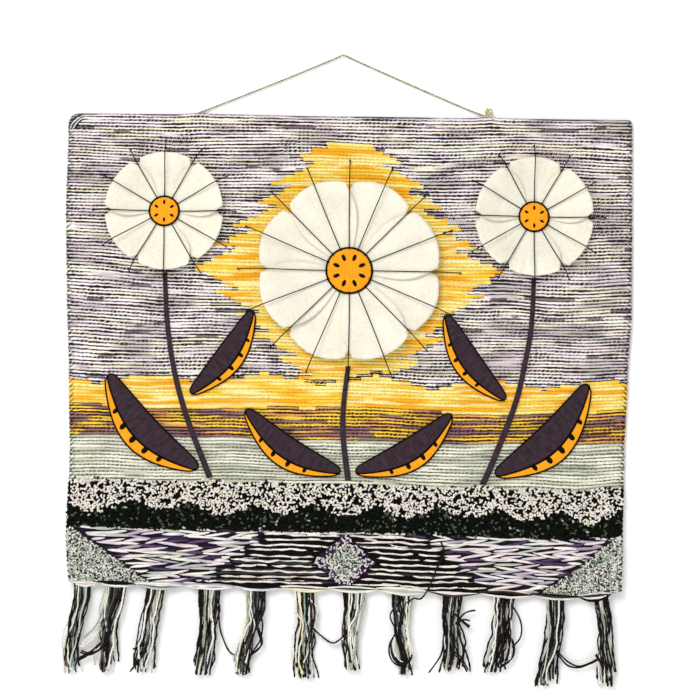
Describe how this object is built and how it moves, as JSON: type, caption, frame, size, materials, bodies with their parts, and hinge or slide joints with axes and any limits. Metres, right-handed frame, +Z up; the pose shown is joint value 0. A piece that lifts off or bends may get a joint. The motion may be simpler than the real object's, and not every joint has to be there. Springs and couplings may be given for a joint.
{
  "type": "jute wall hanging",
  "caption": "Woven wall hanging with raised pile, sewn-on cloth flowers and padded leaves, a row of yarn tassels along its lower edge and a jute cord to hang it by.",
  "frame": {"origin": "the nail point: where the two halves of the hanging cord meet, on the plane of the wall", "axes": "+Z up; +X to the right as seen from the front; -Y out of the front; the panel's back lies on the wall, the plane Y = 0, and faces +Y"},
  "size_m": [0.6207, 0.0194, 0.6875],
  "materials": {
    "woven_yarn": "matt weft-faced weave of thick flecked yarn, with raised loop pile, long stitches and couched yarn",
    "carried_yarn": "matt spun yarn in cream, sage, lavender and black",
    "tassel_yarn": "matt loose yarn ends in black, charcoal, cream and sage",
    "jute_twine": "dry two-ply natural jute",
    "cream_canvas": "undyed plain-weave cotton canvas",
    "golden_felt": "fuzzy thread-wound pad, golden orange",
    "dark_felt": "fuzzy thread-wound pad, dark aubergine"
  },
  "bodies": {
    "root": {"panel": "woven_yarn", "edge_wraps": "carried_yarn", "tassel_01": "tassel_yarn", "tassel_02": "tassel_yarn", "tassel_03": "tassel_yarn", "tassel_04": "tassel_yarn", "tassel_05": "tassel_yarn", "tassel_06": "tassel_yarn", "tassel_07": "tassel_yarn", "tassel_08": "tassel_yarn", "tassel_09": "tassel_yarn", "tassel_10": "tassel_yarn", "tassel_11": "tassel_yarn", "tassel_12": "tassel_yarn", "hanging_cord": "jute_twine", "cord_knot": "jute_twine", "flower_middle_petal_1": "cream_canvas", "flower_middle_petal_2": "cream_canvas", "flower_middle_petal_3": "cream_canvas", "flower_middle_petal_4": "cream_canvas", "flower_middle_petal_5": "cream_canvas", "flower_middle_petal_6": "cream_canvas", "flower_middle_petal_7": "cream_canvas", "flower_middle_petal_8": "cream_canvas", "flower_middle_centre": "golden_felt", "flower_left_petal_1": "cream_canvas", "flower_left_petal_2": "cream_canvas", "flower_left_petal_3": "cream_canvas", "flower_left_petal_4": "cream_canvas", "flower_left_petal_5": "cream_canvas", "flower_left_petal_6": "cream_canvas", "flower_left_centre": "golden_felt", "flower_right_petal_1": "cream_canvas", "flower_right_petal_2": "cream_canvas", "flower_right_petal_3": "cream_canvas", "flower_right_petal_4": "cream_canvas", "flower_right_petal_5": "cream_canvas", "flower_right_petal_6": "cream_canvas", "flower_right_centre": "golden_felt", "stem_middle": "dark_felt", "stem_left": "dark_felt", "stem_right": "dark_felt", "leaf_middle_left_blade": "dark_felt", "leaf_middle_left_edge": "golden_felt", "leaf_middle_right_blade": "dark_felt", "leaf_middle_right_edge": "golden_felt", "leaf_left_outer_blade": "dark_felt", "leaf_left_outer_edge": "golden_felt", "leaf_left_inner_blade": "dark_felt", "leaf_left_inner_edge": "golden_felt", "leaf_right_outer_blade": "dark_felt", "leaf_right_outer_edge": "golden_felt", "leaf_right_inner_blade": "dark_felt", "leaf_right_inner_edge": "golden_felt"}
  },
  "joints": []
}
